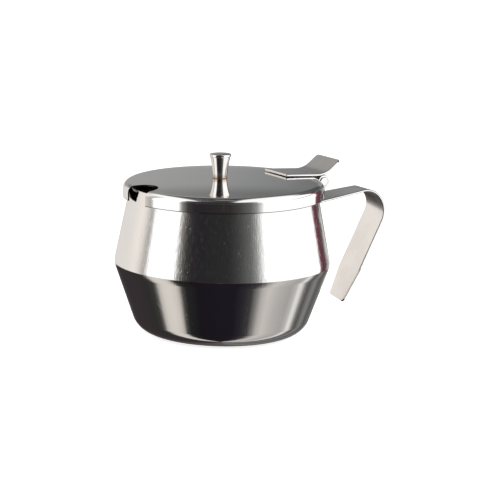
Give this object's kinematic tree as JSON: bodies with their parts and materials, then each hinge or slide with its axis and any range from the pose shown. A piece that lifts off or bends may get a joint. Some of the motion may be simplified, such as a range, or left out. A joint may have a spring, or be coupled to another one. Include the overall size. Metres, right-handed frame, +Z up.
{
  "type": "sugar bowl with hinged lid",
  "caption": "Polished steel sugar bowl with a waisted cone body, a hinged domed lid with a spoon notch, a knob, a thumb lever and an open strap handle.",
  "frame": {"origin": "centre of the flat base, on the bowl's axis", "axes": "+Z up along the bowl's axis; +X towards the hinge and the handle, with the spoon notch on -X; the hinge pin runs along Y"},
  "size_m": [0.1508, 0.1098, 0.0918],
  "materials": {
    "polished_sheet": "mirror polished stainless steel sheet",
    "polished_strip": "mirror polished stainless steel strip",
    "turned_steel": "turned and polished stainless steel",
    "weld_metal": "welded stainless steel, heat tinted straw to brown"
  },
  "bodies": {
    "bowl": {"bowl_body": "polished_sheet", "handle_strap": "polished_strip", "hinge_bracket": "polished_strip", "hinge_pin": "turned_steel"},
    "lid": {"lid": "polished_sheet", "lid_knob": "turned_steel", "knob_weld": "weld_metal", "thumb_lever": "polished_strip", "lever_spot_welds": "weld_metal", "lever_eye": "polished_strip"}
  },
  "joints": [
    {"name": "lid_hinge", "type": "hinge", "parent": "bowl", "child": "lid", "pos_m": [0.0553, 0, 0.0746], "axis": [0, 1, 0], "range_deg": [0, 83]}
  ]
}
